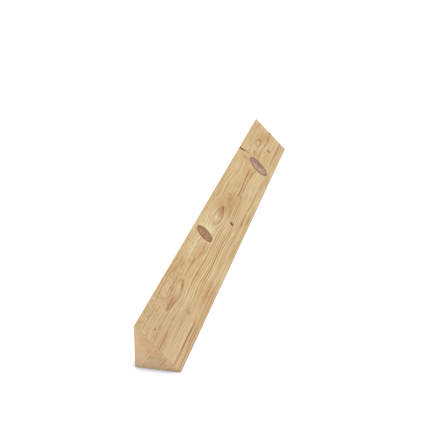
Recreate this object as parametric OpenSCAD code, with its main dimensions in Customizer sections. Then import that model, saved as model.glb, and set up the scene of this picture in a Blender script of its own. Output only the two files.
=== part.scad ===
// Triangular timber batten: one half of a square timber that was ripped from corner to corner.
// The section is a right-angled triangle. The base face lies on the floor, the back face stands
// upright on the -X side and the broad sloping face looks up and towards +X.
// The length runs along Y, and the origin is under the middle of the batten, on the floor.
// All sizes are in millimetres.

/* [Section] */
// Width of the base face, measured to the sharp corner
base_w = 72; // [40:1:150]
// Height of the back face, measured to the sharp corner
back_h = 72; // [40:1:150]

/* [Length] */
// Length between the two sawn ends
batten_l = 1000; // [300:10:4800]

/* [Arrises] */
// Radius of the square arris, where the base meets the back
square_arris_r = 1; // [0.2:0.1:4]
// Radius of the foot arris, where the base meets the sloping face
foot_arris_r = 0.6; // [0.2:0.1:3]
// Radius of the ridge arris, where the back meets the sloping face
ridge_arris_r = 0.6; // [0.2:0.1:3]

/* [Hidden] */
$fn = 48;
timber = "#D4B487";

// Sharp corners of the section: the square corner, the foot of the slope and its ridge
SQUARE = [0, 0];
FOOT = [base_w, 0];
RIDGE = [0, back_h];
// Each corner with its two neighbours and the radius of its arris, anticlockwise
CORNERS = [
    [SQUARE, RIDGE, FOOT, square_arris_r],
    [FOOT, SQUARE, RIDGE, foot_arris_r],
    [RIDGE, FOOT, SQUARE, ridge_arris_r]
];

// Unit vector from one point to another
function toward(from, to) = (to - from) / norm(to - from);
// Half of the angle between the two faces that meet at a corner
function half_angle(c) = acos(toward(c[0], c[1]) * toward(c[0], c[2])) / 2;
// Distance from the sharp corner to the point where the arris meets a face
function setback(c) = c[3] / tan(half_angle(c));
// Centre of the arris, on the line that halves the corner
function arris_centre(c) =
    c[0] + toward([0, 0], toward(c[0], c[1]) + toward(c[0], c[2])) * c[3] / sin(half_angle(c));
// The two points where the arris meets its faces
function arris_ends(c) = [
    c[0] + toward(c[0], c[1]) * setback(c),
    c[0] + toward(c[0], c[2]) * setback(c)
];

// Overall width of the section, out to the round of the foot arris
section_w = arris_centre(CORNERS[1]).x + foot_arris_r;

// Outline of the section: flat faces between the rounds of the three arrises
module section() {
    polygon([for (c = CORNERS) each arris_ends(c)]);
    for (c = CORNERS)
        translate(arris_centre(c)) circle(r = c[3]);
}

// The batten: the section carried along Y, with both ends sawn square
module batten() {
    color(timber)
        translate([-section_w / 2, batten_l / 2, 0])
            rotate([90, 0, 0])
                linear_extrude(height = batten_l) section();
}

batten();
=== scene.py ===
"""Dresses the triangular pine batten: its skin, its sawn ends, its figure and its knots.

The batten lies along Y on its base face. Places in the wood are given in millimetres: along, from the
near end; across, down the sloping face from the ridge; and deep, into the wood and square to that face.
"""

from __future__ import annotations

import logging
import math
from dataclasses import dataclass
from enum import Enum
from typing import Any, Iterable, NamedTuple, Union

import bpy
import numpy as np
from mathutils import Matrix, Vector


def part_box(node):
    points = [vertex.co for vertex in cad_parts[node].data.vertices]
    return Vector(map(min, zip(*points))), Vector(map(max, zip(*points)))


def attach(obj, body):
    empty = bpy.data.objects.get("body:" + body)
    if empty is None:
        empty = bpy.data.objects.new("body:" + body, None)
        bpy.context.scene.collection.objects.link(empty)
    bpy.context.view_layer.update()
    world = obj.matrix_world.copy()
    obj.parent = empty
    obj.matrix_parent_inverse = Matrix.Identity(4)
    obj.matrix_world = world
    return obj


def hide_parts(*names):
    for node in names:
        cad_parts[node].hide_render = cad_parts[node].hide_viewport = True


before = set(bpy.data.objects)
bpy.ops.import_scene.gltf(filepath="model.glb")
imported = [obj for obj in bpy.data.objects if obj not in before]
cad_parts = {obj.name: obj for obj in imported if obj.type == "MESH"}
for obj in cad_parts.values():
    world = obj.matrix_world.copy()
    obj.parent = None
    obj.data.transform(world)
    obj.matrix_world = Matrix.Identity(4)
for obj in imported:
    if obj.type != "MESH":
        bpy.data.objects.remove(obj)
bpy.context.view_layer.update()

MM = 0.001
log = logging.getLogger("batten")

Colour = tuple[float, float, float]
Triple = tuple[float, float, float]

# Depths at which the face's marks have faded out and at which they begin to fade, in millimetres
MARK_DEPTH = (16.0, 5.0)
PIN_DEPTH = (12.0, 5.0)
# How strongly bare wood mirrors, and how strongly its fine relief shows
SPECULAR = 0.25
BUMP = 0.6


class NodeSheet:
    """The nodes of a material or world, with short calls for those that the finishes are made of.

    Attributes:
        owner: The material or world.
        tree: Its node tree.
        SEED_SHIFT: How far one step of a seed moves a noise along each axis.
    """

    SEED_SHIFT = (1.0, 1.7, 0.6)

    def __init__(self, owner: bpy.types.Material | bpy.types.World) -> None:
        """Turns on the nodes of a material or world and clears them.

        Args:
            owner: The material or world.
        """
        owner.use_nodes = True
        self.owner = owner
        self.tree = owner.node_tree
        self.tree.nodes.clear()

    def add(self, kind: str, **settings: Any) -> bpy.types.Node:
        """Adds a node.

        Args:
            kind: The node's type name, without its leading "ShaderNode".
            settings: Properties to set on it.

        Returns:
            The new node.
        """
        node = self.tree.nodes.new("ShaderNode" + kind)
        for name, value in settings.items():
            setattr(node, name, value)
        return node

    def feed(self, socket: bpy.types.NodeSocket, value: Any) -> None:
        """Links a field or a socket to an input, or sets the input to a plain value.

        Args:
            socket: The input.
            value: A Field, an output socket, a number, a vector or an RGB colour.
        """
        if isinstance(value, Field):
            value = value.socket
        if isinstance(value, bpy.types.NodeSocket):
            self.tree.links.new(value, socket)
        elif socket.type == "RGBA":
            socket.default_value = (*value, 1.0)
        else:
            socket.default_value = value

    def math(self, operation: str, *values: Number) -> Field:
        """Adds a Math node.

        Args:
            operation: What it does, by Blender's name for it.
            values: The one to three numbers or fields that it works on.

        Returns:
            Its result.
        """
        node = self.add("Math", operation=operation)
        for socket, value in zip(node.inputs, values):
            self.feed(socket, value)
        return Field(self, node.outputs[0])

    def vector(self, *parts: Number) -> bpy.types.NodeSocket:
        """Joins numbers into a vector.

        Args:
            parts: The vector's three parts.

        Returns:
            The vector's socket.
        """
        node = self.add("CombineXYZ")
        for socket, part in zip(node.inputs, parts):
            self.feed(socket, part)
        return node.outputs[0]

    def noise(self, place: bpy.types.NodeSocket, lengths: Triple, seed: float, detail: float = 2.0,
              roughness: float = 0.5) -> Field:
        """Smooth noise, drawn out by its own length along each axis.

        Args:
            place: The vector that the noise is read at.
            lengths: How long a patch of it is along each axis, in the place's units.
            seed: Shifts the pattern, so that two noises differ.
            detail: How many finer layers it has.
            roughness: How strong those layers are.

        Returns:
            A field about 0.5, mostly between 0.25 and 0.75.
        """
        shift = self.add("VectorMath", operation="MULTIPLY_ADD")
        self.feed(shift.inputs[0], place)
        shift.inputs[1].default_value = [1.0 / length for length in lengths]
        shift.inputs[2].default_value = [seed * share for share in self.SEED_SHIFT]
        node = self.add("TexNoise")
        self.feed(node.inputs["Vector"], shift.outputs[0])
        node.inputs["Scale"].default_value = 1.0
        node.inputs["Detail"].default_value = detail
        node.inputs["Roughness"].default_value = roughness
        return Field(self, node.outputs[0])

    def random(self, number: Number) -> Field:
        """Draws a random value for each whole number.

        Args:
            number: The whole number.

        Returns:
            A value from 0 to 1.
        """
        node = self.add("TexWhiteNoise", noise_dimensions="1D")
        self.feed(node.inputs["W"], number)
        return Field(self, node.outputs["Value"])

    def mix(self, share: Number, below: Any, above: Any) -> bpy.types.NodeSocket:
        """Lays one colour over another.

        Args:
            share: How much of the upper colour shows, from 0 to 1.
            below: The lower colour, as a socket or as RGB.
            above: The upper colour, as a socket or as RGB.

        Returns:
            The mixed colour's socket.
        """
        # A Mix node's colour sockets come after those for its numbers and vectors
        node = self.add("Mix", data_type="RGBA")
        self.feed(node.inputs[0], share)
        self.feed(node.inputs[6], below)
        self.feed(node.inputs[7], above)
        return node.outputs[2]

    def ramp(self, value: Field, stops: tuple[tuple[float, Colour], ...]) -> bpy.types.NodeSocket:
        """Turns a number into a colour.

        Args:
            value: The number, from 0 to 1.
            stops: Colours, each with the number that it stands for, in rising order.

        Returns:
            The colour's socket.
        """
        node = self.add("ValToRGB")
        elements = node.color_ramp.elements
        while len(elements) < len(stops):
            elements.new(1.0)
        for element, (place, colour) in zip(elements, stops):
            element.position = place
            element.color = (*colour, 1.0)
        self.feed(node.inputs[0], value)
        return node.outputs[0]

    def shade(self, colour: Any, factor: Number) -> bpy.types.NodeSocket:
        """Multiplies a colour by a brightness.

        Args:
            colour: The colour, as a socket or as RGB.
            factor: The brightness.

        Returns:
            The new colour's socket.
        """
        node = self.add("VectorMath", operation="SCALE")
        self.feed(node.inputs[0], colour)
        self.feed(node.inputs["Scale"], factor)
        return node.outputs[0]


class Field(np.lib.mixins.NDArrayOperatorsMixin):
    """A number that varies over a surface, held by a node socket.

    It takes part in numpy formulas: each ufunc adds the Math node that does the same, so that one
    formula can give both a mesh's relief and a finish's pattern.
    """

    OPERATIONS = {
        np.add: "ADD",
        np.subtract: "SUBTRACT",
        np.multiply: "MULTIPLY",
        np.true_divide: "DIVIDE",
        np.sqrt: "SQRT",
        np.exp: "EXPONENT",
        np.sin: "SINE",
        np.floor: "FLOOR",
        np.maximum: "MAXIMUM",
        np.minimum: "MINIMUM",
        np.absolute: "ABSOLUTE",
        np.arctan2: "ARCTAN2",
    }

    def __init__(self, sheet: NodeSheet, socket: bpy.types.NodeSocket) -> None:
        """Holds a socket of a node sheet."""
        self.sheet = sheet
        self.socket = socket

    def __array_ufunc__(self, ufunc: np.ufunc, method: str, *inputs: Number, **options: Any) -> Field:
        """Adds the Math node for a numpy function.

        Args:
            ufunc: The numpy function.
            method: How numpy calls it, which has to be a plain call.
            inputs: The numbers and fields that it works on.
            options: Anything else that numpy passes, which isn't used.

        Returns:
            The result, as a field.
        """
        if method != "__call__" or ufunc not in self.OPERATIONS:
            return NotImplemented
        return self.sheet.math(self.OPERATIONS[ufunc], *(plain(value) for value in inputs))


Number = Union[Field, np.ndarray, float]


def plain(value: Number) -> Number:
    """Turns a numpy number into a Python one, and leaves a field as it is."""
    return value if isinstance(value, Field) else float(value)


def smooth(value: Number, start: float, end: float) -> Number:
    """Rises from 0 at start to 1 at end by the cubic 3t^2 - 2t^3, in an array or in nodes.

    Args:
        value: The array or field to read.
        start: Where the result is 0.
        end: Where the result is 1, which may be below start.

    Returns:
        The eased share, of the same kind as value.
    """
    if isinstance(value, Field):
        node = value.sheet.add("MapRange", interpolation_type="SMOOTHSTEP")
        for socket, number in zip(node.inputs, (value, start, end, 0.0, 1.0)):
            value.sheet.feed(socket, number)
        return Field(value.sheet, node.outputs[0])
    share = np.clip((value - start) / (end - start), 0.0, 1.0)
    return share * share * (3.0 - 2.0 * share)


def hump(value: Number) -> Number:
    """A smooth hump: 1 where value is 0, and 0 from 1 outwards on either side."""
    return smooth(np.absolute(value), 1.0, 0.0)


class Spot(NamedTuple):
    """Places in the wood, in millimetres, as arrays or as node fields."""

    along: Number
    across: Number
    deep: Number


@dataclass(frozen=True)
class WoodAxes:
    """Where the wood's own axes lie in the frame, in metres.

    Attributes:
        near_y: Y of the near end.
        ridge_x: X of the ridge's sharp corner.
        ridge_z: Z of the ridge's sharp corner.
    """

    near_y: float
    ridge_x: float
    ridge_z: float

    DIAGONAL = math.sqrt(0.5)

    def of(self, x: Number, y: Number, z: Number) -> Spot:
        """Reads frame coordinates as places in the wood.

        Across is the way from the ridge down the 45 degree face, and deep is the way square to it.

        Args:
            x: X in metres.
            y: Y in metres.
            z: Z in metres.

        Returns:
            The same places in the wood's axes.
        """
        out = (x - self.ridge_x) * (self.DIAGONAL / MM)
        down = (z - self.ridge_z) * (-self.DIAGONAL / MM)
        return Spot((y - self.near_y) / MM, out + down, down - out)

    def on(self, sheet: NodeSheet) -> Spot:
        """Reads Object coordinates as places in the wood.

        Args:
            sheet: The nodes to add to.

        Returns:
            The places, as node fields.
        """
        split = sheet.add("SeparateXYZ")
        sheet.feed(split.inputs[0], sheet.add("TexCoord").outputs["Object"])
        return self.of(*(Field(sheet, output) for output in split.outputs))


class Tone(Enum):
    """The colours of pins and bark, as linear RGB."""

    PITCH = (0.085, 0.014, 0.008)
    OLIVE = (0.195, 0.088, 0.030)
    BARK = (0.195, 0.050, 0.018)
    RUST = (0.250, 0.100, 0.036)


@dataclass(frozen=True)
class Oval:
    """An oval place on the sloping face, in millimetres.

    Attributes:
        along: Its middle, along the batten.
        across: Its middle, across the face.
        half_along: Half its length.
        half_across: Half its width.
        turn: How far it is turned on the face, in degrees.
        crisp: How sharp its edge is, from 0 for a soft patch to near 1 for a hard one.
        taper: How much wider its far end is than its middle, as a share, below 0 for narrower.
        LEAST: The least share of its width that the taper leaves.
    """

    along: float
    across: float
    half_along: float
    half_across: float
    turn: float = 0.0
    crisp: float = 0.0
    taper: float = 0.0

    LEAST = 0.2

    def ratio(self, spot: Spot) -> Number:
        """Distance from the oval's middle: 1 on its edge.

        The place is turned into the oval's own axes and divided by its half sizes, of which the second
        grows with the taper, and the length of that pair is taken.

        Args:
            spot: Places in the wood.

        Returns:
            The distance, in oval radii.
        """
        east = spot.along - self.along
        south = spot.across - self.across
        if self.turn:
            cosine = math.cos(math.radians(self.turn))
            sine = math.sin(math.radians(self.turn))
            east, south = east * cosine + south * sine, south * cosine - east * sine
        first = east * (1.0 / self.half_along)
        second = south * (1.0 / self.half_across)
        if self.taper:
            second = second / np.maximum(first * self.taper + 1.0, self.LEAST)
        return np.sqrt(first * first + second * second)

    def share(self, spot: Spot) -> Number:
        """How much of the oval is at a place: 1 in its middle, eased to 0 at its edge."""
        return smooth(self.ratio(spot), 1.0, self.crisp)


@dataclass(frozen=True)
class Stain(Oval):
    """An oval where the wood is browner or paler.

    Attributes:
        depth: How much browner its middle is, below 0 for paler.
    """

    depth: float = 0.3


@dataclass(frozen=True)
class Loop(Oval):
    """A growth line that closes on itself, round a place where the face cuts the top off a ring.

    Attributes:
        depth: How much browner the line is.
        line: The line's half width, in oval radii.
    """

    depth: float = 0.3
    line: float = 0.2

    def share(self, spot: Spot) -> Number:
        """How much of the line is at a place: a hump over the oval's edge."""
        return hump((self.ratio(spot) - 1.0) * (1.0 / self.line))


@dataclass(frozen=True)
class Heart(Oval):
    """A patch of another colour inside a knot.

    Attributes:
        colour: Its linear RGB.
        strength: How much of that colour shows at its middle.
    """

    colour: Colour = (0.3, 0.2, 0.2)
    strength: float = 0.6


@dataclass(frozen=True)
class Pin(Oval):
    """A small dead knot or resin pocket.

    Attributes:
        tone: Its colour.
        strength: How much of that colour shows at its middle.
        sink: How far its surface lies below the face, in millimetres.
    """

    tone: Tone = Tone.PITCH
    strength: float = 0.9
    sink: float = 0.0


@dataclass(frozen=True)
class Streak:
    """A resin-dark growth line that follows the grain, in millimetres.

    Attributes:
        start: Where it begins, along the batten.
        end: Where it ends.
        across: Where its middle crosses the face.
        half_width: Half its width.
        depth: How much browner it is.
        climb: How far it drifts across the grain from its start to its end.
        FADE: How far it takes to fade at each end, or a third of its length where that is less.
    """

    start: float
    end: float
    across: float
    half_width: float
    depth: float
    climb: float = 0.0

    FADE = 24.0

    @property
    def middle(self) -> float:
        """Halfway along it."""
        return (self.start + self.end) / 2.0

    def share(self, spot: Spot, flow: Number, at: float) -> Number:
        """How much of the streak is at a place: a hump across the grain, eased out at both ends.

        Args:
            spot: Places in the wood.
            flow: The same places across the straightened grain.
            at: The streak's own place across the straightened grain.

        Returns:
            The share, from 0 to 1.
        """
        slope = self.climb / (self.end - self.start)
        off = flow - at
        if slope:
            off = off - (spot.along - self.middle) * slope
        fade = min(self.FADE, (self.end - self.start) / 3.0)
        start = smooth(spot.along, self.start, self.start + fade)
        end = smooth(spot.along, self.end, self.end - fade)
        return hump(off * (1.0 / self.half_width)) * start * end


@dataclass(frozen=True)
class Knot:
    """A branch that the sloping face cuts across, tapering into the wood, in millimetres.

    Attributes:
        along: The middle of its face, along the batten.
        across: The middle of its face, across the batten.
        half_along: Half its length.
        half_across: Half its width.
        runs_out: The depth at which it would have tapered to nothing.
        lean: How far its middle moves along the batten for each millimetre of depth.
        push: How strongly the grain is turned aside by it.
        light: Its pale inner colour.
        dark: Its dark inner colour.
        rim: The colour of its bark line.
        seed: Sets its mottling apart from the other knots.
        STRETCH: How much longer than wide the grain's way round it is.
        EDGE: Half the width of its soft edge, in its radii.
        RIM: Where its bark line lies, in its radii.
        RIM_HALF: Half the width of that line, in its radii.
        RIM_RISE: How far inside the bark line its colour begins, in half widths.
        RIM_SHARE: How much of the bark colour shows.
        RINGS: Growth rings from its middle to its edge.
        GROOVE: Depth of the groove along the bark line.
        SINK: Depth of its floor below the face.
        FLOOR: Where that floor begins and where it is level, in its radii.
        LEAST: The least share of its radius that the taper leaves.
    """

    along: float
    across: float
    half_along: float
    half_across: float
    runs_out: float
    lean: float
    push: float
    light: Colour
    dark: Colour
    rim: Colour
    seed: float

    STRETCH = 1.8
    EDGE = 0.03
    RIM = 0.92
    RIM_HALF = 0.085
    RIM_RISE = 3.2
    RIM_SHARE = 0.85
    RINGS = 7.0
    GROOVE = 0.14
    SINK = 0.08
    FLOOR = (1.02, 0.86)
    LEAST = 0.05

    def ratio(self, spot: Spot) -> Number:
        """Distance from the branch's middle line, in its radii there: 1 on its edge.

        Args:
            spot: Places in the wood.

        Returns:
            The distance, as an oval radius that shrinks with depth.
        """
        taper = np.maximum(1.0 - spot.deep * (1.0 / self.runs_out), self.LEAST)
        first = (spot.along - self.along - spot.deep * self.lean) * (1.0 / self.half_along)
        second = (spot.across - self.across) * (1.0 / self.half_across)
        return np.sqrt(first * first + second * second) / taper

    def turned(self, spot: Spot) -> Number:
        """How far the knot sets the grain aside at a place, in millimetres across.

        It is the flow round a cylinder: the distance from the middle times the radius squared over the
        distance squared, drawn out along the grain and held at its edge value inside.

        Args:
            spot: Places in the wood.

        Returns:
            The shift to add to across to straighten the grain.
        """
        east = (spot.along - self.along) * (1.0 / (self.STRETCH * self.half_across))
        south = spot.across - self.across
        share = south * (1.0 / self.half_across)
        spread = np.maximum(east * east + share * share, 1.0)
        return south * (-self.push) / spread

    def hollow(self, spot: Spot) -> np.ndarray:
        """How far the surface lies below the face: a shallow floor and a groove along the bark line.

        Args:
            spot: Places in the wood, as arrays.

        Returns:
            Depth in millimetres.
        """
        ratio = self.ratio(spot)
        floor = smooth(ratio, *self.FLOOR) * self.SINK
        return floor + hump((ratio - self.RIM) / self.RIM_HALF) * self.GROOVE


@dataclass(frozen=True)
class Lens:
    """A place where the plane of the sloping face cuts the top off a growth ring, in millimetres.

    Attributes:
        along: Its middle, along the batten.
        spread: How long it is: the ring's rise falls to a third this far from its middle.
        rise: How many rings are cut away at its middle.
    """

    along: float
    spread: float
    rise: float

    def dip(self, along: Number) -> Number:
        """How many rings the heart is nearer at a place: a bell curve along the batten."""
        off = (along - self.along) * (1.0 / self.spread)
        return np.exp(off * off * -1.0) * self.rise


@dataclass(frozen=True)
class Grain:
    """The growth rings, as the sloping face shows them, in millimetres.

    Attributes:
        knots: The branches that turn the grain aside.
        lenses: Where rings close on themselves on the face.
        heart: Where the figure's middle line runs across the face.
        ring: The width of one growth ring.
        rings_below: Rings between the heart and the face, at the figure's middle line.
        swell: How far the grain lines swell out and draw in, on both sides of the heart.
        swell_length: The length of one swell.
        swell_start: Where the first swell begins, before the near end.
        swell_grows: Where along the batten the swells begin, and where they are full.
        heart_sides: Where across the face the swells turn from one way to the other.
        foot_sides: Where they weaken towards the foot of the face.
        foot_loss: How much of them is lost there.
    """

    knots: tuple[Knot, ...]
    lenses: tuple[Lens, ...]
    heart: float = 34.9
    ring: float = 3.75
    rings_below: float = 4.1
    swell: float = 1.2
    swell_length: float = 157.5
    swell_start: float = 43.0
    swell_grows: tuple[float, float] = (-60.0, 240.0)
    heart_sides: tuple[float, float] = (20.0, 50.0)
    foot_sides: tuple[float, float] = (55.0, 100.0)
    foot_loss: float = 0.6

    def flow(self, spot: Spot) -> Number:
        """Straightens the grain, so that each of its lines keeps one value of across.

        The swells and the way round the knots are taken out of across. A swell is a sine along the
        batten that grows from the near end. It moves the lines on the two sides of the heart opposite
        ways, and less so towards the foot of the sloping face.

        Args:
            spot: Places in the wood.

        Returns:
            The straightened place across, in millimetres.
        """
        turn = 2.0 * math.pi / self.swell_length
        weaker = smooth(spot.across, *self.foot_sides) * self.foot_loss
        side = smooth(spot.across, *self.heart_sides) * 2.0 - weaker - 1.0
        swell = np.sin((spot.along + self.swell_start) * turn) * side
        swell = swell * smooth(spot.along, *self.swell_grows)
        flow = spot.across - swell * self.swell
        for knot in self.knots:
            flow = flow + knot.turned(spot)
        return flow

    def place(self, along: float, across: float) -> float:
        """The straightened place across of one point on the sloping face."""
        return float(self.flow(Spot(np.float64(along), np.float64(across), np.float64(0.0))))

    def count(self, spot: Spot, flow: Number, unrest: Number) -> Number:
        """The growth ring at a place, counted from the heart: its distance from the heart in rings.

        Args:
            spot: Places in the wood.
            flow: The same places across the straightened grain.
            unrest: A small wander of the heart's depth, in rings.

        Returns:
            The ring count, whose whole part is the ring and whose fraction is the place in it.
        """
        below = unrest + self.rings_below
        for lens in self.lenses:
            below = below - lens.dip(spot.along)
        below = below - spot.deep * (1.0 / self.ring)
        aside = (flow - self.heart) * (1.0 / self.ring)
        return np.sqrt(aside * aside + below * below)


# The two large knots of the sloping face
KNOTS = (
    Knot(379.8, 28.0, 17.7, 19.3, runs_out=62.0, lean=0.20, push=0.14, light=(0.430, 0.245, 0.125),
         dark=(0.260, 0.120, 0.055), rim=(0.270, 0.108, 0.044), seed=3.0),
    Knot(797.6, 61.4, 24.4, 27.2, runs_out=90.0, lean=0.15, push=0.15, light=(0.490, 0.305, 0.215),
         dark=(0.320, 0.170, 0.120), rim=(0.285, 0.120, 0.074), seed=11.0),
)

# Patches inside the knots: ten in the first and six in the second
HEARTS = (
    Heart(386.5, 28.0, 8.0, 11.0, colour=(0.335, 0.150, 0.078), strength=0.5),
    Heart(366.5, 26.5, 3.6, 8.5, colour=(0.190, 0.072, 0.030), strength=0.7),
    Heart(374.5, 28.4, 6.5, 2.2, colour=(0.170, 0.075, 0.034), strength=0.8),
    Heart(384.4, 18.4, 5.4, 2.6, turn=24.0, colour=(0.165, 0.062, 0.026), strength=0.85),
    Heart(382.4, 36.8, 5.4, 2.2, turn=-8.0, colour=(0.165, 0.075, 0.032), strength=0.8),
    Heart(376.8, 18.8, 5.0, 2.8, turn=10.0, colour=(0.500, 0.345, 0.240), strength=0.75),
    Heart(375.0, 23.8, 5.5, 1.9, colour=(0.420, 0.265, 0.120), strength=0.6),
    Heart(375.5, 33.2, 6.5, 1.7, colour=(0.450, 0.285, 0.135), strength=0.6),
    Heart(372.5, 39.0, 7.0, 2.0, turn=24.0, colour=(0.470, 0.290, 0.135), strength=0.65),
    Heart(371.5, 43.6, 6.0, 1.8, turn=24.0, colour=(0.170, 0.065, 0.026), strength=0.6),
    Heart(806.5, 60.5, 13.0, 19.0, crisp=0.3, colour=(0.265, 0.140, 0.140), strength=0.78),
    Heart(802.6, 49.6, 4.6, 6.0, colour=(0.205, 0.090, 0.086), strength=0.65),
    Heart(796.0, 59.8, 5.5, 1.9, turn=18.0, colour=(0.200, 0.115, 0.100), strength=0.8),
    Heart(791.0, 54.2, 6.5, 6.0, colour=(0.600, 0.440, 0.290), strength=0.75),
    Heart(792.8, 67.6, 6.5, 7.5, colour=(0.630, 0.470, 0.360), strength=0.78),
    Heart(798.0, 79.0, 13.0, 5.5, colour=(0.570, 0.375, 0.280), strength=0.5),
)

# Where the face cuts the top off a growth ring
LENSES = (
    Lens(150.0, 34.0, 0.85),
    Lens(477.0, 32.0, 0.85),
    Lens(898.0, 14.5, 0.90),
)

# The growth lines that close on themselves there
LOOPS = (
    Loop(149.5, 34.0, 50.0, 7.8, taper=0.2, depth=0.29, line=0.20),
    Loop(476.0, 34.4, 43.0, 7.0, taper=-0.12, depth=0.20, line=0.22),
    Loop(898.0, 35.6, 21.0, 6.6, depth=0.24, line=0.34),
)

# Resin-dark growth lines, which also run on past the two ends
STREAKS = (
    Streak(-30.0, 150.0, 85.8, 1.6, 0.52),
    Streak(35.0, 135.0, 85.8, 1.7, 0.50),
    Streak(120.0, 275.0, 84.4, 1.6, 0.34, -1.0),
    Streak(-30.0, 140.0, 95.8, 1.5, 0.38),
    Streak(122.0, 290.0, 97.2, 1.5, 0.34, -2.5),
    Streak(55.0, 275.0, 92.4, 1.4, 0.24),
    Streak(-90.0, 60.0, 53.0, 1.6, 0.84),
    Streak(30.0, 118.0, 51.6, 1.4, 0.40),
    Streak(-60.0, 40.0, 48.2, 1.2, 0.26),
    Streak(-60.0, 40.0, 57.6, 1.3, 0.32),
    Streak(10.0, 108.0, 56.4, 1.2, 0.26),
    Streak(32.0, 122.0, 65.0, 1.2, 0.20),
    Streak(-60.0, 44.0, 62.4, 1.3, 0.28),
    Streak(28.0, 78.0, 31.0, 1.4, 0.32),
    Streak(-60.0, 34.0, 34.4, 1.3, 0.32),
    Streak(52.0, 112.0, 38.8, 1.4, 0.32),
    Streak(150.0, 282.0, 50.6, 1.4, 0.36),
    Streak(268.0, 510.0, 51.8, 1.3, 0.24, 1.5),
    Streak(240.0, 390.0, 68.6, 1.6, 0.36),
    Streak(365.0, 585.0, 84.6, 1.5, 0.38, 1.0),
    Streak(500.0, 585.0, 85.4, 1.9, 0.60),
    Streak(568.0, 704.0, 86.4, 1.7, 0.52, 2.6),
    Streak(695.0, 765.0, 89.0, 1.5, 0.34, 1.5),
    Streak(370.0, 525.0, 96.8, 1.5, 0.36, 2.6),
    Streak(372.0, 455.0, 92.2, 1.4, 0.22),
    Streak(522.0, 650.0, 95.6, 1.6, 0.42),
    Streak(506.0, 612.0, 51.8, 1.4, 0.30),
    Streak(518.0, 610.0, 46.8, 1.2, 0.20),
    Streak(594.0, 764.0, 49.0, 2.7, 0.66, -3.2),
    Streak(625.0, 788.0, 56.0, 1.8, 0.58, 5.6),
    Streak(835.0, 1030.0, 84.8, 1.5, 0.32),
    Streak(895.0, 1030.0, 85.0, 1.7, 0.30),
    Streak(818.0, 985.0, 52.0, 1.6, 0.48, -1.0),
    Streak(808.0, 892.0, 52.6, 1.5, 0.36),
    Streak(945.0, 1030.0, 48.8, 1.8, 0.38, -1.5),
    Streak(820.0, 870.0, 70.0, 1.5, 0.30),
    Streak(70.0, 300.0, 3.8, 1.3, 0.26),
    Streak(75.0, 290.0, 9.0, 1.4, 0.26),
    Streak(392.0, 442.0, 13.0, 1.3, 0.30),
    Streak(545.0, 755.0, 7.2, 1.3, 0.28, 4.0),
    Streak(520.0, 706.0, 12.4, 1.6, 0.46, 6.5),
    Streak(545.0, 755.0, 21.6, 1.5, 0.38, 7.0),
    Streak(185.0, 270.0, 13.6, 1.7, 0.46, 2.0),
    Streak(218.0, 258.0, 18.8, 1.4, 0.38, 1.5),
    Streak(200.0, 275.0, 33.4, 1.8, 0.30),
    Streak(254.0, 368.0, 31.2, 1.5, 0.34),
    Streak(254.0, 332.0, 37.2, 1.6, 0.45, 7.5),
    Streak(314.0, 368.0, 39.0, 1.5, 0.36, -5.0),
    Streak(845.0, 888.0, 14.0, 1.3, 0.24),
    Streak(940.0, 1030.0, 14.6, 1.5, 0.42, 5.0),
)

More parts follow.
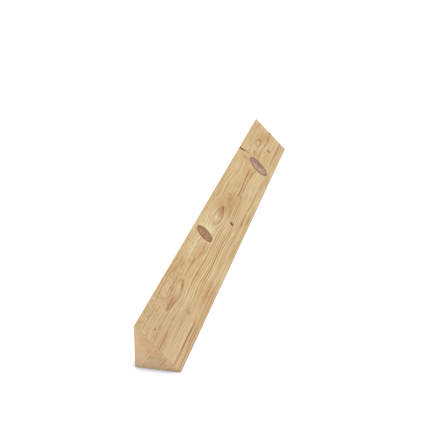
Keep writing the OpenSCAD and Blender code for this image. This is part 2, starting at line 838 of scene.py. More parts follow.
# Browner and paler patches
STAINS = (
    Stain(110.0, 50.0, 190.0, 80.0, depth=0.08),
    Stain(445.0, 14.0, 80.0, 22.0, depth=-0.12),
    Stain(312.0, 20.0, 70.0, 15.0, depth=-0.26),
    Stain(406.0, 30.0, 16.0, 14.0, depth=-0.22),
    Stain(390.0, 28.0, 68.0, 36.0, crisp=0.3, depth=-0.16),
    Stain(532.0, 43.0, 92.0, 22.0, depth=0.16),
    Stain(522.0, 24.0, 50.0, 9.0, depth=0.13),
    Stain(500.0, 36.0, 620.0, 10.0, depth=0.10),
    Stain(180.0, 53.0, 110.0, 11.0, depth=-0.14),
    Stain(108.0, 34.4, 14.0, 3.2, depth=0.18),
    Stain(128.0, 34.2, 38.0, 8.0, depth=0.30),
    Stain(177.0, 33.0, 18.0, 6.5, depth=-0.14),
    Stain(130.0, 39.4, 26.0, 1.9, turn=4.0, depth=0.28),
    Stain(185.0, 37.8, 15.0, 2.3, turn=-9.0, depth=0.62),
    Stain(18.0, 38.8, 26.0, 4.4, turn=-3.0, depth=0.32),
    Stain(47.0, 38.2, 18.0, 3.2, depth=0.34),
    Stain(50.0, 43.0, 85.0, 16.0, depth=0.14),
    Stain(55.0, 54.0, 80.0, 8.0, depth=0.08),
    Stain(270.0, 34.0, 22.0, 3.5, turn=4.0, depth=0.24),
    Stain(514.0, 35.2, 13.0, 5.5, depth=0.12),
    Stain(518.0, 32.8, 15.0, 1.8, turn=5.0, depth=0.28),
    Stain(503.0, 38.2, 12.0, 2.0, turn=-6.0, depth=0.10),
    Stain(496.0, 34.2, 31.0, 8.5, crisp=0.1, depth=0.24),
    Stain(461.0, 33.2, 20.0, 6.0, depth=-0.18),
    Stain(575.0, 37.6, 42.0, 3.6, turn=2.0, depth=0.22),
    Stain(775.0, 28.0, 80.0, 18.0, depth=0.18),
    Stain(841.0, 36.4, 17.0, 3.2, turn=-12.0, depth=0.54),
    Stain(914.0, 36.0, 11.0, 6.0, depth=0.13),
    Stain(891.0, 35.2, 9.0, 5.0, depth=-0.16),
    Stain(950.0, 38.0, 70.0, 14.0, depth=0.26),
    Stain(960.0, 52.0, 75.0, 11.0, depth=0.24),
    Stain(500.0, 2.0, 620.0, 16.0, depth=0.08),
    Stain(120.0, 96.0, 300.0, 11.0, depth=0.10),
    Stain(325.0, 93.0, 45.0, 7.0, depth=-0.10),
    Stain(775.0, 95.0, 45.0, 6.0, depth=0.28),
    Stain(660.0, 94.0, 60.0, 8.0, depth=-0.12),
    Stain(836.0, 46.0, 26.0, 15.0, depth=0.16),
    Stain(725.0, 52.0, 45.0, 9.0, depth=0.12),
    Stain(779.5, 23.0, 10.0, 16.0, depth=0.30),
    Stain(811.0, 23.0, 6.0, 13.0, turn=-24.0, depth=0.38),
    Stain(205.0, 17.0, 70.0, 19.0, depth=0.14),
    Stain(228.0, 83.0, 75.0, 18.0, depth=0.24),
    Stain(348.0, 82.0, 50.0, 10.0, depth=0.14),
    Stain(448.0, 93.0, 48.0, 8.0, depth=-0.10),
    Stain(552.0, 93.0, 52.0, 8.0, depth=0.16),
    Stain(650.0, 24.0, 48.0, 8.0, depth=-0.12),
    Stain(890.0, 32.0, 150.0, 60.0, depth=0.03),
    Stain(493.0, 66.5, 15.0, 9.0, depth=0.28),
    Stain(624.0, 41.5, 22.0, 2.0, turn=3.0, depth=-0.28),
    Stain(592.0, 30.0, 9.0, 2.4, turn=18.0, depth=-0.28),
    Stain(462.0, 78.0, 30.0, 5.0, turn=8.0, depth=-0.18),
    Stain(996.0, 52.0, 10.0, 7.0, depth=0.20),
)

# Small dead knots and resin pockets
PINS = (
    Pin(800.3, 7.8, 6.0, 15.0, turn=-30.0, crisp=0.5, tone=Tone.BARK, strength=1.0, sink=0.40),
    Pin(33.0, 32.3, 3.7, 1.8, turn=16.0, crisp=0.3, tone=Tone.PITCH, strength=1.0),
    Pin(137.8, 70.0, 5.2, 2.3, turn=-8.0, crisp=0.2, tone=Tone.RUST, strength=0.8),
    Pin(141.0, 65.6, 11.0, 6.5, tone=Tone.RUST, strength=0.34),
    Pin(492.0, 66.2, 6.2, 5.4, crisp=0.35, tone=Tone.PITCH, strength=0.95, sink=0.45),
    Pin(583.2, 32.4, 5.2, 2.2, turn=6.0, crisp=0.2, tone=Tone.OLIVE, strength=0.8),
    Pin(612.6, 59.0, 7.0, 2.8, turn=8.0, crisp=0.2, tone=Tone.OLIVE, strength=0.8),
    Pin(907.2, 66.4, 6.8, 6.0, crisp=0.35, tone=Tone.BARK, strength=0.95, sink=0.40),
    Pin(849.5, 20.8, 6.8, 1.9, turn=28.0, tone=Tone.RUST, strength=0.75),
    Pin(995.0, 48.6, 9.0, 2.3, crisp=0.2, tone=Tone.BARK, strength=0.9),
    Pin(995.0, 55.6, 4.0, 1.4, tone=Tone.RUST, strength=0.7),
)


@dataclass(frozen=True)
class LongGrain:
    """Planed pine, as it shows on the three long faces.

    One number says how brown the wood is at each place. Summer wood, fibres, resin ducts, streaks and
    stains all add to it, and a ramp turns it into a colour.

    Attributes:
        name: The material's name.
        roughness: Its middle roughness.
        late_from: The place in a ring where the dark summer wood begins.
        drift: How far the grain lines waver, in millimetres.
        relief: How far summer wood stands proud, in millimetres.
        clear: Where the growth rings show best.
        calm: Where they show least, inside the closed loops.
        dusty: Where handling has greyed the wood.
        dust: The colour of that grey.
        dust_share: How much of it shows at most.
        plain_brown: How brown plain wood is.
        late_brown: How much browner summer wood is.
        duct_brown: How much browner a resin duct is.
        fibre_brown: How much the brown varies from fibre to fibre.
        cloud_brown: How much it varies from place to place.
        streak_share: How much of the depth of a streak shows.
        ridge_band: Where across the face the faint figure by the ridge ends, and where it is full.
        ramp: Colours from the palest wood to resin, each at its place from 0 to 1.
    """

    name: str = "pine_long_grain"
    roughness: float = 0.62
    late_from: float = 0.28
    drift: float = 2.6
    relief: float = 0.05
    clear: Oval = Oval(385.0, 58.0, 310.0, 29.0, crisp=0.4)
    calm: tuple[Oval, ...] = (
        Oval(148.0, 34.5, 64.0, 11.0, crisp=0.5),
        Oval(478.0, 34.5, 64.0, 11.0, crisp=0.5),
    )
    dusty: Oval = Oval(0.0, 50.0, 260.0, 110.0)
    dust: Colour = (0.560, 0.410, 0.350)
    dust_share: float = 0.17
    plain_brown: float = 0.19
    late_brown: float = 0.62
    duct_brown: float = 0.34
    fibre_brown: float = 0.42
    cloud_brown: float = 0.42
    streak_share: float = 0.85
    ridge_band: tuple[float, float] = (8.0, 30.0)
    ramp: tuple[tuple[float, Colour], ...] = (
        (0.00, (0.722, 0.615, 0.350)),
        (0.25, (0.625, 0.450, 0.230)),
        (0.50, (0.530, 0.322, 0.143)),
        (0.75, (0.405, 0.190, 0.066)),
        (1.00, (0.270, 0.092, 0.026)),
    )

    def material(self, axes: WoodAxes, grain: Grain) -> bpy.types.Material:
        """Makes the finish.

        Args:
            axes: Where the wood's axes lie.
            grain: The growth rings and knots.

        Returns:
            The material.
        """
        sheet = new_sheet(self.name)
        spot = axes.on(sheet)
        place = sheet.vector(*spot)
        waver = sheet.noise(place, (120.0, 16.0, 16.0), 2.0) - 0.5
        flow = grain.flow(spot) + waver * self.drift
        lines = sheet.vector(spot.along, flow, spot.deep)
        unrest = (sheet.noise(place, (70.0, 60.0, 60.0), 5.0) - 0.5) * 0.4
        unrest = unrest + (sheet.noise(place, (24.0, 3.5, 3.5), 6.0) - 0.5) * 0.3
        late = self.summer_wood(sheet, grain.count(spot, flow, unrest), lines, spot)
        fibre = sheet.noise(lines, (30.0, 0.7, 0.7), 14.0, detail=3.0, roughness=0.6) - 0.5
        ducts = self.ducts(sheet, lines, spot)
        brown = late * self.late_brown + ducts * self.duct_brown
        brown = brown + fibre * self.fibre_brown + self.plain_brown
        streaky = sheet.noise(lines, (100.0, 2.0, 2.0), 9.0, detail=3.0, roughness=0.6) - 0.5
        brown = brown + streaky * (smooth(spot.across, *self.ridge_band) * 0.34 + 0.50)
        cloud = sheet.noise(place, (150.0, 30.0, 30.0), 21.0, detail=1.0) - 0.5
        brown = brown + cloud * self.cloud_brown
        brown = brown + self.marks(grain, spot, flow) * smooth(spot.deep, *MARK_DEPTH)
        colour = sheet.ramp(brown, self.ramp)
        colour = sheet.mix(self.dusty.share(spot) * self.dust_share, colour, self.dust)
        for pin in PINS:
            share = pin.share(spot) * smooth(spot.deep, *PIN_DEPTH)
            colour = sheet.mix(share * pin.strength, colour, pin.tone.value)
        for knot in grain.knots:
            colour = self.knot_face(sheet, knot, spot, place, colour)
        for heart in HEARTS:
            share = heart.share(spot) * smooth(spot.deep, *MARK_DEPTH)
            colour = sheet.mix(share * heart.strength, colour, heart.colour)
        height = late * self.relief + fibre * 0.06 - ducts * 0.05
        finish(sheet, colour, fibre * 0.25 - late * 0.08 + self.roughness, height)
        return sheet.owner

    def marks(self, grain: Grain, spot: Spot, flow: Field) -> Field:
        """Sums the streaks, loops and stains of the sloping face.

        Args:
            grain: The growth rings.
            spot: Places in the wood.
            flow: The same places across the straightened grain.

        Returns:
            How much browner the wood is for them.
        """
        total = STAINS[0].share(spot) * STAINS[0].depth
        for mark in STAINS[1:] + LOOPS:
            total = total + mark.share(spot) * mark.depth
        for streak in STREAKS:
            at = grain.place(streak.middle, streak.across)
            total = total + streak.share(spot, flow, at) * (streak.depth * self.streak_share)
        return total

    def summer_wood(self, sheet: NodeSheet, count: Field, lines: bpy.types.NodeSocket,
                    spot: Spot) -> Field:
        """How much dark summer wood is at a place.

        In each ring it rises slowly and stops short at the ring's end. Each ring has its own strength,
        which comes and goes along the batten. The rings show best inside one long oval, and least by
        the ridge and inside the closed loops.

        Args:
            sheet: The nodes to add to.
            count: The growth ring count.
            lines: Places along the grain lines.
            spot: Places in the wood.

        Returns:
            The share, from 0 to about 1.
        """
        whole = np.floor(count)
        part = count - whole
        rise = smooth(part, self.late_from, 0.86) * smooth(part, 1.0, 0.88)
        ring = sheet.random(whole) * 0.4 + 0.6
        along = smooth(sheet.noise(lines, (130.0, 6.0, 6.0), 31.0), 0.26, 0.66) * 0.7 + 0.3
        clear = self.clear.share(spot) * 0.62 + 0.46
        clear = clear * (smooth(spot.across, *self.ridge_band) * 0.5 + 0.5)
        for oval in self.calm:
            clear = clear * (oval.share(spot) * -0.65 + 1.0)
        return rise * ring * along * clear

    def ducts(self, sheet: NodeSheet, lines: bpy.types.NodeSocket, spot: Spot) -> Field:
        """Dark resin ducts: the peaks of two fine noises.

        The longer ones are all over the batten, and most of them above the figure in its near half.
        The shorter ones are only above the figure, by the near end.

        Args:
            sheet: The nodes to add to.
            lines: Places along the grain lines.
            spot: Places in the wood.

        Returns:
            The share of the ducts at a place, from 0 to about 1.
        """
        longer = smooth(sheet.noise(lines, (12.0, 1.3, 1.3), 41.0, detail=1.0), 0.50, 0.72)
        most = smooth(spot.across, 48.0, 26.0) * smooth(spot.along, 520.0, 300.0)
        most = most * smooth(spot.along, 40.0, 170.0) * 0.6 + 0.3
        shorter = smooth(sheet.noise(lines, (10.0, 0.8, 0.8), 43.0, detail=1.0), 0.46, 0.64)
        near = smooth(spot.across, 38.0, 24.0) * smooth(spot.along, 230.0, 90.0) * 0.95
        return longer * most + shorter * near

    def knot_face(self, sheet: NodeSheet, knot: Knot, spot: Spot, place: bpy.types.NodeSocket,
                  colour: Any) -> bpy.types.NodeSocket:
        """Lays a knot over the wood: mottled rings of its two inner colours, inside a dark bark line.

        Args:
            sheet: The nodes to add to.
            knot: The knot.
            spot: Places in the wood.
            place: The same places as a vector.
            colour: The wood's colour so far.

        Returns:
            The colour with the knot on it.
        """
        wobble = sheet.noise(place, (12.0, 12.0, 12.0), knot.seed) - 0.5
        ratio = knot.ratio(spot) + wobble * 0.12
        mottle = sheet.noise(place, (8.0, 8.0, 8.0), knot.seed + 4.0, detail=3.0, roughness=0.6)
        rings = np.sin(ratio * (knot.RINGS * 2.0 * math.pi) + wobble * 9.0) * 0.12
        inner = sheet.mix(smooth(mottle + rings, 0.30, 0.66), knot.dark, knot.light)
        rim = smooth(ratio, knot.RIM - knot.RIM_HALF * knot.RIM_RISE, knot.RIM) * knot.RIM_SHARE
        inner = sheet.mix(rim, inner, knot.rim)
        return sheet.mix(smooth(ratio, 1.0 + knot.EDGE, 1.0 - knot.EDGE), colour, inner)


@dataclass(frozen=True)
class EndGrain:
    """Sawn end grain: growth rings seen end on, which bend below the sloping face, and saw marks.

    Attributes:
        name: The material's name.
        roughness: Its middle roughness.
        ring: The width of one growth ring, in millimetres.
        kerf: The pitch of the saw marks, in millimetres.
        saw_turn: How far the saw marks are turned from the sloping face, in degrees.
        bend: How far the rings bend aside is this times the depth squared, in millimetres.
        pale_at: Where the palest ring meets the sloping face, in millimetres.
        ring_dark: How dark the rings are.
        saw_dark: How dark the saw marks are.
        edge_shade: How much darker the end is along the back.
        foot_shade: Painted shade, how much darker it is towards the floor.
        top_light: Painted light, how much paler it is below the ridge.
        early: Spring wood's colour.
        late: Summer wood's colour.
        rubbed: Patches that are rubbed smooth, placed by across and deep.
        rubbed_colour: Their colour.
    """

    name: str = "pine_end_grain"
    roughness: float = 0.74
    ring: float = 3.3
    kerf: float = 3.0
    saw_turn: float = 12.0
    bend: float = 0.0035
    pale_at: float = 48.0
    ring_dark: float = 1.15
    saw_dark: float = 0.72
    edge_shade: float = 0.20
    foot_shade: float = 0.14
    top_light: float = 0.06
    early: Colour = (0.745, 0.532, 0.315)
    late: Colour = (0.460, 0.222, 0.096)
    rubbed: tuple[Oval, ...] = (Oval(35.0, 26.0, 11.0, 7.0), Oval(66.0, 20.0, 13.0, 9.0))
    rubbed_colour: Colour = (0.600, 0.405, 0.255)

    def material(self, axes: WoodAxes) -> bpy.types.Material:
        """Makes the finish.

        Args:
            axes: Where the wood's axes lie.

        Returns:
            The material.
        """
        sheet = new_sheet(self.name)
        spot = axes.on(sheet)
        place = sheet.vector(*spot)
        waver = sheet.noise(place, (60.0, 7.0, 24.0), 4.0) - 0.5
        bent = spot.across - spot.deep * spot.deep * self.bend + waver * 3.4
        fresh = smooth(sheet.noise(place, (60.0, 9.0, 9.0), 12.0), 0.34, 0.62) * 0.6 + 0.4
        rings = self.lines(sheet, bent * (1.0 / self.ring)) * fresh
        rings = rings * (1.0 - hump((bent - self.pale_at) * 0.5))
        rings = rings * (smooth(bent, 16.0, 52.0) * 0.75 + 0.25)
        rings = rings * (smooth(spot.deep, 36.0, 6.0) * 0.45 + 0.55)
        rings = rings * (smooth(spot.deep, 0.0, 12.0) * 0.3 + 0.7)
        saw = self.lines(sheet, self.strokes(spot) + waver * 0.6)
        saw = saw * smooth(np.absolute(spot.across - 42.0), 42.0, 14.0) * smooth(spot.deep, 30.0, 10.0)
        patch = sum(oval.share(Spot(spot.across, spot.deep, spot.along)) for oval in self.rubbed)
        dark = (rings * self.ring_dark + saw * self.saw_dark) * (1.0 - patch * 0.6)
        pores = sheet.noise(place, (0.7, 0.7, 0.7), 8.0, detail=2.0)
        cloud = sheet.noise(place, (40.0, 12.0, 12.0), 17.0)
        edge = smooth(spot.across - spot.deep, 4.0, 0.5) * self.edge_shade
        # Root two times the drop from the ridge
        fall = spot.across + spot.deep
        # Painted shade darkens the end towards the floor, and painted light brightens a band below the
        # ridge
        foot = smooth(fall, 45.0, 102.0) * self.foot_shade - smooth(fall, 20.0, 46.0) * self.top_light
        colour = sheet.mix(dark, self.early, self.late)
        colour = sheet.mix(patch * 0.6, colour, self.rubbed_colour)
        colour = sheet.shade(colour, (pores - 0.5) * 0.30 + (cloud - 0.5) * 0.24 - edge - foot + 1.0)
        height = dark * -0.05 + (pores - 0.5) * 0.12
        finish(sheet, colour, (pores - 0.5) * 0.2 + self.roughness, height)
        return sheet.owner

    def strokes(self, spot: Spot) -> Number:
        """The saw mark at a place, counted down from the ridge: depth, turned a little, in pitches."""
        turn = math.radians(self.saw_turn)
        return (spot.deep * math.cos(turn) + spot.across * math.sin(turn)) * (1.0 / self.kerf)

    def lines(self, sheet: NodeSheet, count: Field) -> Field:
        """Dark lines, one for each whole number.

        Each rises slowly, stops short and has its own strength.

        Args:
            sheet: The nodes to add to.
            count: The number that the lines follow.

        Returns:
            The share of the dark line at a place, from 0 to 1.
        """
        whole = np.floor(count)
        part = count - whole
        return smooth(part, 0.30, 0.72) * smooth(part, 1.0, 0.80) * (sheet.random(whole) * 0.3 + 0.7)


def new_sheet(name: str) -> NodeSheet:
    """Makes a material, ready for its nodes."""
    return NodeSheet(bpy.data.materials.new(name))


def finish(sheet: NodeSheet, colour: Any, roughness: Field, height: Field) -> None:
    """Ends a wood finish in its shader.

    Args:
        sheet: The nodes to add to.
        colour: The base colour's socket.
        roughness: The roughness field.
        height: The surface's fine relief, in millimetres.
    """
    shader = sheet.add("BsdfPrincipled")
    shader.inputs["Specular IOR Level"].default_value = SPECULAR
    sheet.feed(shader.inputs["Base Color"], colour)
    sheet.feed(shader.inputs["Roughness"], roughness)
    bump = sheet.add("Bump")
    bump.inputs["Strength"].default_value = BUMP
    bump.inputs["Distance"].default_value = MM
    sheet.feed(bump.inputs["Height"], height)
    sheet.feed(shader.inputs["Normal"], bump.outputs[0])
    output = sheet.add("OutputMaterial")
    sheet.feed(output.inputs["Surface"], shader.outputs[0])


class End(Enum):
    """The two sawn ends, by the side of the batten's middle that they are on."""

    NEAR = -1
    FAR = 1


class Profile(NamedTuple):
    """The section's outline, counter-clockwise seen from the near end, in metres.

    Attributes:
        x: X of each point.
        z: Z of each point.
        out_x: X of each point's outward direction.
        out_z: Z of each point's outward direction.
        girth: Distance round the outline to each point, with the whole girth at the end.
        edge: How near each point is to an arris: 1 on it and 0 from a few millimetres away.
    """

    x: np.ndarray
    z: np.ndarray
    out_x: np.ndarray
    out_z: np.ndarray
    girth: np.ndarray
    edge: np.ndarray


@dataclass(frozen=True)
class Batten:
    """The batten's own mesh: a rounded triangular profile carried along its length, closed by two ends.

    Attributes:
        node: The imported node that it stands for.
        square_arris: Radius of the arris between base and back, in metres.
        sharp_arris: Radius of the two arrises on the sloping face, in metres.
        end_round: Radius of the worn edge round each end, in metres.
        arris_steps: Steps round each arris.
        face_steps: Steps across the base, the sloping face and the back.
        rows: Rows along the batten.
        end_rings: Rings from an end's edge to its middle.
        wear: How far the arrises are worn back at most, in metres.
        saw_depth: Depth of the saw marks on the ends, in metres.
        EDGE_REACH: How far from an arris its wear reaches, in metres.
        SEED: Starts the draws for that wear.
        WEAR_WAVES: Length in metres and strength of each wave of it.
        SAW_FADE: Saw marks are full from one part in this many of the way from the rim inwards.
        ALONG_STEPS: Places at which the density of the rows is worked out.
        KNOT_ROWS: What a knot adds to the rows' density, and how far that reaches, in its half lengths.
        PIN_ROWS: What a sunk pin adds to it, and how far that reaches, in millimetres.
        END_ROWS: What an end adds to it, and how far that reaches, in millimetres.
        RIM_ANGLES: Where rows stand on an end's rounded edge, in degrees.
        SKIN_SHARE: The skin's share of the flat layout's width.
        END_COLUMN: Where the ends stand in the layout, across.
        END_WIDE: Width of an end there.
        END_HIGH: Height of an end there.
        NEAR_ROW: Where the near end stands, upwards.
        FAR_ROW: Where the far end stands.
    """

    node: str = "batten"
    square_arris: float = 1.0 * MM
    sharp_arris: float = 0.6 * MM
    end_round: float = 0.5 * MM
    arris_steps: int = 6
    face_steps: tuple[int, int, int] = (58, 100, 58)
    rows: int = 300
    end_rings: int = 34
    wear: float = 0.15 * MM
    saw_depth: float = 0.08 * MM

    EDGE_REACH = 2.5 * MM
    SEED = 7
    WEAR_WAVES = ((0.310, 0.4), (0.137, 0.3), (0.061, 0.2), (0.029, 0.2))
    SAW_FADE = 6.0
    ALONG_STEPS = 8001
    KNOT_ROWS = (2.0, 1.4)
    PIN_ROWS = (3.0, 9.0)
    END_ROWS = (1.5, 6.0)
    RIM_ANGLES = (22.5, 45.0, 67.5)
    SKIN_SHARE = 0.84
    END_COLUMN = 0.86
    END_WIDE = 0.13
    END_HIGH = 0.44
    NEAR_ROW = 0.01
    FAR_ROW = 0.55

    @property
    def box(self) -> tuple[np.ndarray, np.ndarray]:
        """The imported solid's lowest and highest corners, in metres."""
        low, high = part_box(self.node)
        return np.array(low), np.array(high)

    @property
    def axes(self) -> WoodAxes:
        """Where the wood's axes lie: a sharp 45 degree corner stands root two radii past its round."""
        low, high = self.box
        return WoodAxes(low[1], low[0], high[2] + math.sqrt(2.0) * self.sharp_arris)

    def profile(self) -> Profile:
        """Works out the section's outline.

        At each corner an arc that is tangent to both faces turns from one face's outward direction to
        the next one's, and straight steps join the arcs.

        Returns:
            The outline.
        """
        low, high = self.box
        reach = math.sqrt(2.0) * self.sharp_arris
        corners = np.array([[low[0], low[2]], [high[0] + reach, low[2]], [low[0], high[2] + reach]])
        radii = np.array([self.square_arris, self.sharp_arris, self.sharp_arris])
        ways = np.roll(corners, -1, axis=0) - corners
        ways /= np.linalg.norm(ways, axis=1, keepdims=True)
        before = np.roll(ways, 1, axis=0)
        turns = np.arccos(np.clip((ways * before).sum(1), -1.0, 1.0))
        outward = np.stack([before[:, 1], -before[:, 0]], 1)
        starts = corners - before * (radii * np.tan(turns / 2.0))[:, None]
        centres = starts - outward * radii[:, None]
        swing = np.linspace(0.0, 1.0, self.arris_steps + 1)
        angle = np.arctan2(outward[:, 1], outward[:, 0])[:, None] + turns[:, None] * swing
        arc_out = np.stack([np.cos(angle), np.sin(angle)], 2)
        arcs = centres[:, None] + arc_out * radii[:, None, None]
        points, normals = [], []
        for k, steps in enumerate(self.face_steps):
            share = np.linspace(0.0, 1.0, steps + 1)[1:-1, None]
            face_out = arc_out[k, -1]
            points += [arcs[k], arcs[k, -1] + (arcs[(k + 1) % 3, 0] - arcs[k, -1]) * share]
            normals += [arc_out[k], np.broadcast_to(face_out, (steps - 1, 2))]
        outline, out = np.concatenate(points), np.concatenate(normals)
        steps = np.linalg.norm(np.roll(outline, -1, axis=0) - outline, axis=1)
        girth = np.concatenate([[0.0], np.cumsum(steps)])
        middles = arcs[:, self.arris_steps // 2]
        near = np.linalg.norm(outline[:, None] - middles[None], axis=2).min(1)
        edge = np.exp(-((near / self.EDGE_REACH) ** 2))
        return Profile(outline[:, 0], outline[:, 1], out[:, 0], out[:, 1], girth, edge)

    def stations(self) -> np.ndarray:
        """Sets out the rows along the batten, closer at the knots, at the sunk pins and at the ends.

        A density, which is 1 plus a bell curve at each of those places, is summed along the batten.
        Rows are set at equal shares of the sum, and a few more on the rounded edges of the ends.

        Returns:
            Y of each row, in metres.
        """
        low, high = self.box
        length = (high[1] - low[1]) / MM
        fine = np.linspace(0.0, length, self.ALONG_STEPS)
        density = np.ones_like(fine)
        more, reach = self.KNOT_ROWS
        for knot in KNOTS:
            density += more * np.exp(-(((fine - knot.along) / (reach * knot.half_along)) ** 2))
        more, reach = self.PIN_ROWS
        for pin in PINS:
            if pin.sink:
                density += more * np.exp(-(((fine - pin.along) / reach) ** 2))
        more, reach = self.END_ROWS
        density += more * np.exp(-((np.minimum(fine, length - fine) / reach) ** 2))
        total = np.concatenate([[0.0], np.cumsum((density[1:] + density[:-1]) / 2.0)])
        rim = self.end_round / MM * (1.0 - np.cos(np.radians(self.RIM_ANGLES)))
        rows = np.interp(np.linspace(0.0, total[-1], self.rows - 2 * len(rim)), total, fine)
        rows = np.sort(np.concatenate([rows, rim, length - rim]))
        return low[1] + rows * MM

    def skin(self, profile: Profile, stations: np.ndarray) -> np.ndarray:
        """Carries the profile along the batten, drawn in by the relief.

        Each point moves inwards by the end's rounding, a quarter circle of the way to the end, by the
        hollows of the knots and marks, and by the wear of the arrises, a sum of waves along the batten.

        Args:
            profile: The outline.
            stations: Y of each row.

        Returns:
            Points by row and column, in metres.
        """
        low, high = self.box
        spot = self.axes.of(profile.x[None], stations[:, None], profile.z[None])
        hollow = np.zeros((len(stations), len(profile.x)))
        for knot in KNOTS:
            hollow += knot.hollow(spot)
        for pin in PINS:
            if pin.sink:
                hollow += pin.share(spot) * smooth(spot.deep, *PIN_DEPTH) * pin.sink
        to_end = np.minimum(stations - low[1], high[1] - stations)
        short = np.clip(1.0 - to_end / self.end_round, 0.0, 1.0)
        rounding = self.end_round * (1.0 - np.sqrt(1.0 - short ** 2))
        inward = hollow * MM + rounding[:, None] + self.worn(profile, stations)
        x = profile.x[None] - profile.out_x[None] * inward
        z = profile.z[None] - profile.out_z[None] * inward
        y = np.broadcast_to(stations[:, None], x.shape)
        return np.stack([x, y, z], 2)

    def worn(self, profile: Profile, stations: np.ndarray) -> np.ndarray:
        """How far handling has worn each arris back: a sum of waves, kept where it is above 0 and squared.

        Args:
            profile: The outline.
            stations: Y of each row.

        Returns:
            Depth in metres by row and column.
        """
        draw = np.random.default_rng(self.SEED)
        lengths, strengths = np.array(self.WEAR_WAVES).T[:, :, None]
        start = draw.uniform(0.0, 2.0 * math.pi, lengths.shape)
        waves = np.sin(stations[None] * (2.0 * math.pi / lengths) + start)
        rough = np.clip((waves * strengths).sum(0), 0.0, None) ** 2
        return self.wear * rough[:, None] * profile.edge[None]

    def cap(self, rim: np.ndarray, end: End) -> np.ndarray:
        """Fills one end: rings of points that shrink from the rim to the middle.

        The face is drawn in by fine saw marks, a cosine across their strokes, which fade at the rim.

        Args:
            rim: The skin's last row of points at this end.
            end: Which end it is.

        Returns:
            The rings inside the rim by ring and column, and the middle as the last row's one point.
        """
        middle = rim.mean(0)
        share = (np.arange(1, self.end_rings) / self.end_rings)[:, None, None]
        rings = rim[None] + (middle - rim)[None] * share
        points = np.concatenate([rings.reshape(-1, 3), middle[None]])
        spot = self.axes.of(points[:, 0], points[:, 1], points[:, 2])
        marks = 0.5 - 0.5 * np.cos(EndGrain().strokes(spot) * (2.0 * math.pi))
        fade = np.append(np.repeat(np.minimum(share.ravel() * self.SAW_FADE, 1.0), len(rim)), 1.0)
        points[:, 1] -= end.value * marks * fade * self.saw_depth
        return points

    def faces(self, rows: int, columns: int) -> tuple[np.ndarray, np.ndarray, np.ndarray]:
        """Lists the skin's quads, the ends' quads and the ends' middle triangles, by vertex number.

        The skin's vertices come first, row by row, then each end's rings and its middle.

        Args:
            rows: Rows of the skin.
            columns: Points round the outline.

        Returns:
            Quads of the skin, quads of both ends, and triangles of both ends, all facing outwards.
        """
        column = np.arange(columns)
        after = np.roll(column, -1)
        row = np.arange(rows - 1)[:, None] * columns
        skin = np.stack([row + column, row + columns + column, row + columns + after, row + after], 2)
        ends, tips = [], []
        for end in End:
            first = rows * columns + (0 if end is End.NEAR else (self.end_rings - 1) * columns + 1)
            rim = 0 if end is End.NEAR else (rows - 1) * columns
            starts = np.concatenate([[rim], first + np.arange(self.end_rings - 1) * columns])
            outer, inner = starts[:-1, None], starts[1:, None]
            quads = np.stack([outer + column, outer + after, inner + after, inner + column], 2)
            tip = first + (self.end_rings - 1) * columns
            fan = np.stack([starts[-1] + column, starts[-1] + after, np.full(columns, tip)], 1)
            turn = slice(None) if end is End.NEAR else slice(None, None, -1)
            ends.append(quads.reshape(-1, 4)[:, turn])
            tips.append(fan[:, turn])
        return skin.reshape(-1, 4), np.concatenate(ends), np.concatenate(tips)

    def unrolled(self, points: np.ndarray, girth: np.ndarray, stations: np.ndarray,
                 ends: np.ndarray) -> np.ndarray:
        """Lays the surface out flat, for each corner of each face.

        The skin is unrolled, its girth across and its length up, over most of a unit square. The ends
        stand beside it, the near one below the far one, seen square on.

        Args:
            points: All the mesh's points.
            girth: Distance round the outline to each column, with the whole girth at the end.
            stations: Y of each row.
            ends: Vertex numbers of the ends' face corners, in order.

        Returns:
            The two flat coordinates of each corner, the skin's first and then the ends'.
        """
        low, high = self.box
        across = girth / girth[-1] * self.SKIN_SHARE
        up = (stations - stations[0]) / (stations[-1] - stations[0])
        left, right = across[None, :-1], across[None, 1:]
        below, above = up[:-1, None], up[1:, None]
        corners = [(left, below), (left, above), (right, above), (right, below)]
        skin = np.stack([np.stack(np.broadcast_arrays(*corner), -1) for corner in corners], 2)
        share = (points[ends] - low) / (high - low)
        row = np.where(share[:, 1] > 0.5, self.FAR_ROW, self.NEAR_ROW)
        beside = self.END_COLUMN + share[:, 0] * self.END_WIDE
        flat = np.stack([beside, row + share[:, 2] * self.END_HIGH], 1)
        return np.concatenate([skin.reshape(-1, 2), flat])

    def build(self) -> bpy.types.Object:
        """Makes the batten's mesh and object.

        Returns:
            The object, at the origin, with the long faces in material slot 0 and the ends in slot 1.
        """
        profile, stations = self.profile(), self.stations()
        skin = self.skin(profile, stations)
        rows, columns = skin.shape[:2]
        near, far = self.cap(skin[0], End.NEAR), self.cap(skin[-1], End.FAR)
        points = np.concatenate([skin.reshape(-1, 3), near, far])
        skin_faces, end_faces, tips = self.faces(rows, columns)
        corners = np.concatenate([skin_faces.ravel(), end_faces.ravel(), tips.ravel()])
        sizes = np.repeat([4, 3], [len(skin_faces) + len(end_faces), len(tips)])
        mesh = bpy.data.meshes.new("triangular_batten")
        mesh.vertices.add(len(points))
        mesh.vertices.foreach_set("co", points.astype(np.float32).ravel())
        mesh.loops.add(len(corners))
        mesh.loops.foreach_set("vertex_index", corners.astype(np.int32))
        mesh.polygons.add(len(sizes))
        starts = np.concatenate([[0], np.cumsum(sizes)[:-1]])
        mesh.polygons.foreach_set("loop_start", starts.astype(np.int32))
        finishes = np.repeat([0, 1], [len(skin_faces), len(end_faces) + len(tips)])
        mesh.polygons.foreach_set("material_index", finishes.astype(np.int32))
        mesh.polygons.foreach_set("use_smooth", np.ones(len(sizes), bool))
        mesh.update(calc_edges=True)
        flat = self.unrolled(points, profile.girth, stations, corners[skin_faces.size:])
        mesh.uv_layers.new(name="OFBake").data.foreach_set("uv", flat.astype(np.float32).ravel())
        mesh.validate()
        piece = bpy.data.objects.new("triangular_batten", mesh)
        bpy.context.scene.collection.objects.link(piece)
        return piece

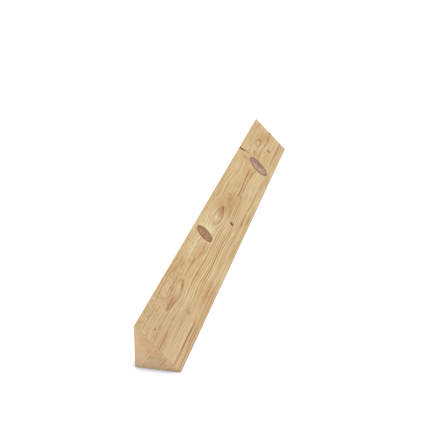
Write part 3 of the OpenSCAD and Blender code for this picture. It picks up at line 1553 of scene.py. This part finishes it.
    def dress(self, piece: bpy.types.Object) -> None:
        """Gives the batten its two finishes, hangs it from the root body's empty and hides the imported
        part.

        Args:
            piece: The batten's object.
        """
        grain = Grain(KNOTS, LENSES)
        piece.data.materials.append(LongGrain().material(self.axes, grain))
        piece.data.materials.append(EndGrain().material(self.axes))
        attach(piece, "root")
        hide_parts(self.node)


@dataclass(frozen=True)
class PhotoCamera:
    """The camera, at the photograph's place and angle.

    Attributes:
        place: Where it stands, in metres.
        heading: How far it is turned from +Y towards -X, in degrees.
        down: How far it looks down, in degrees.
        focal_pixels: Its focal length, in pixels of the picture.
        picture: The picture's width and height, in pixels.
        sensor: The width of the sensor that the lens is given for, in millimetres.
    """

    place: Triple = (0.36374, -1.74616, 0.82136)
    heading: float = 12.688
    down: float = 23.508
    focal_pixels: float = 1010.9
    picture: float = 424.0
    sensor: float = 36.0

    def build(self) -> bpy.types.Object:
        """Makes the camera and sets it as the scene's own.

        Returns:
            The camera.
        """
        lens = bpy.data.cameras.new("photo_camera")
        lens.sensor_width = self.sensor
        lens.lens = self.sensor * self.focal_pixels / self.picture
        camera = bpy.data.objects.new("photo_camera", lens)
        camera.location = self.place
        camera.rotation_euler = (math.radians(90.0 - self.down), 0.0, math.radians(self.heading))
        bpy.context.scene.collection.objects.link(camera)
        bpy.context.scene.camera = camera
        return camera


@dataclass(frozen=True)
class Lamp:
    """A far lamp, which lights every place alike.

    Attributes:
        name: Its name.
        aim: The way towards it from the batten.
        spread: How wide it looks from the batten, in degrees.
        level: How bright it makes a white face that looks straight at it.
    """

    name: str
    aim: Triple
    spread: float
    level: float

    def build(self) -> bpy.types.Object:
        """Hangs the lamp.

        Returns:
            The lamp.
        """
        light = bpy.data.lights.new(self.name, "SUN")
        light.angle = math.radians(self.spread)
        light.energy = self.level * math.pi
        lamp = bpy.data.objects.new(self.name, light)
        lamp.location = self.aim
        lamp.rotation_euler = lamp.location.to_track_quat("Z", "Y").to_euler()
        bpy.context.scene.collection.objects.link(lamp)
        return lamp


@dataclass(frozen=True)
class Studio:
    """A white floor under a white sky, with two soft far lamps.

    Attributes:
        sky: The sky's brightness.
        floor_half: Half the floor's side, in metres.
        floor_white: The floor's own colour.
        floor_lift: Brightness added to the floor where the camera sees it.
        contact: How far from the batten its painted contact shadow reaches, in metres.
        contact_depth: How much of the floor's colour is lost where the batten is all round a place.
        lamps: The far lamps.
    """

    sky: float = 0.25
    floor_half: float = 12.0
    floor_white: Colour = (0.93, 0.94, 0.95)
    floor_lift: Colour = (0.08, 0.10, 0.16)
    contact: float = 14.0 * MM
    contact_depth: float = 0.95
    lamps: tuple[Lamp, ...] = (
        Lamp("front_lamp", (-0.9, -2.2, 1.75), spread=40.0, level=0.13),
        Lamp("top_lamp", (-0.42, 0.46, 3.0), spread=84.0, level=1.00),
    )

    def seen(self, sheet: NodeSheet) -> Field:
        """Tells rays from the camera, straight or by a mirror or glass, from the rest.

        Args:
            sheet: The nodes to add to.

        Returns:
            1 for those rays and 0 for the rest.
        """
        path = sheet.add("LightPath")
        kinds = ("Is Camera Ray", "Is Glossy Ray", "Is Transmission Ray")
        first, second, third = (Field(sheet, path.outputs[kind]) for kind in kinds)
        return np.minimum(first + second + third, 1.0)

    def floor(self) -> bpy.types.Object:
        """Lays the floor.

        Returns:
            The floor, marked as stage.
        """
        half = self.floor_half
        mesh = bpy.data.meshes.new("floor")
        corners = [(-half, -half, 0.0), (half, -half, 0.0), (half, half, 0.0), (-half, half, 0.0)]
        mesh.from_pydata(corners, [], [(0, 1, 2, 3)])
        sheet = new_sheet("studio_floor")
        # The floor's colour is darkened near the batten: a painted contact shadow, on top of the lamps'
        # real shadows
        nearby = sheet.add("AmbientOcclusion")
        nearby.inputs["Distance"].default_value = self.contact
        open_share = Field(sheet, nearby.outputs["AO"]) * self.contact_depth + (1.0 - self.contact_depth)
        grey = sheet.add("BsdfDiffuse")
        sheet.feed(grey.inputs["Color"], sheet.shade(self.floor_white, open_share))
        lift = sheet.add("Emission")
        lift.inputs["Color"].default_value = (*self.floor_lift, 1.0)
        sheet.feed(lift.inputs["Strength"], self.seen(sheet))
        both = sheet.add("AddShader")
        sheet.feed(both.inputs[0], grey.outputs[0])
        sheet.feed(both.inputs[1], lift.outputs[0])
        output = sheet.add("OutputMaterial")
        sheet.feed(output.inputs["Surface"], both.outputs[0])
        mesh.materials.append(sheet.owner)
        floor = bpy.data.objects.new("floor", mesh)
        bpy.context.scene.collection.objects.link(floor)
        return floor

    def light(self) -> None:
        """Lights the sky, white to the camera, and hangs the lamps."""
        sheet = NodeSheet(bpy.data.worlds.new("studio_sky"))
        back = sheet.add("Background")
        sheet.feed(back.inputs["Strength"], self.seen(sheet) * (1.0 - self.sky) + self.sky)
        back.inputs["Color"].default_value = (1.0, 1.0, 1.0, 1.0)
        output = sheet.add("OutputWorld")
        sheet.feed(output.inputs["Surface"], back.outputs[0])
        bpy.context.scene.world = sheet.owner
        for lamp in self.lamps:
            lamp.build()


def main() -> None:
    """Builds the camera, the studio and the batten, and logs the floor's name and the batten's vertex and
    face counts.
    """
    logging.basicConfig(level=logging.INFO, format="%(name)s: %(message)s")
    scene = bpy.context.scene
    scene.view_settings.view_transform = "Standard"
    PhotoCamera().build()
    studio = Studio()
    studio.light()
    log.info("floor %s", studio.floor().name)
    batten = Batten()
    piece = batten.build()
    batten.dress(piece)
    log.info("%s: %d vertices, %d faces", piece.name, len(piece.data.vertices), len(piece.data.polygons))


if __name__ == "__main__":
    main()
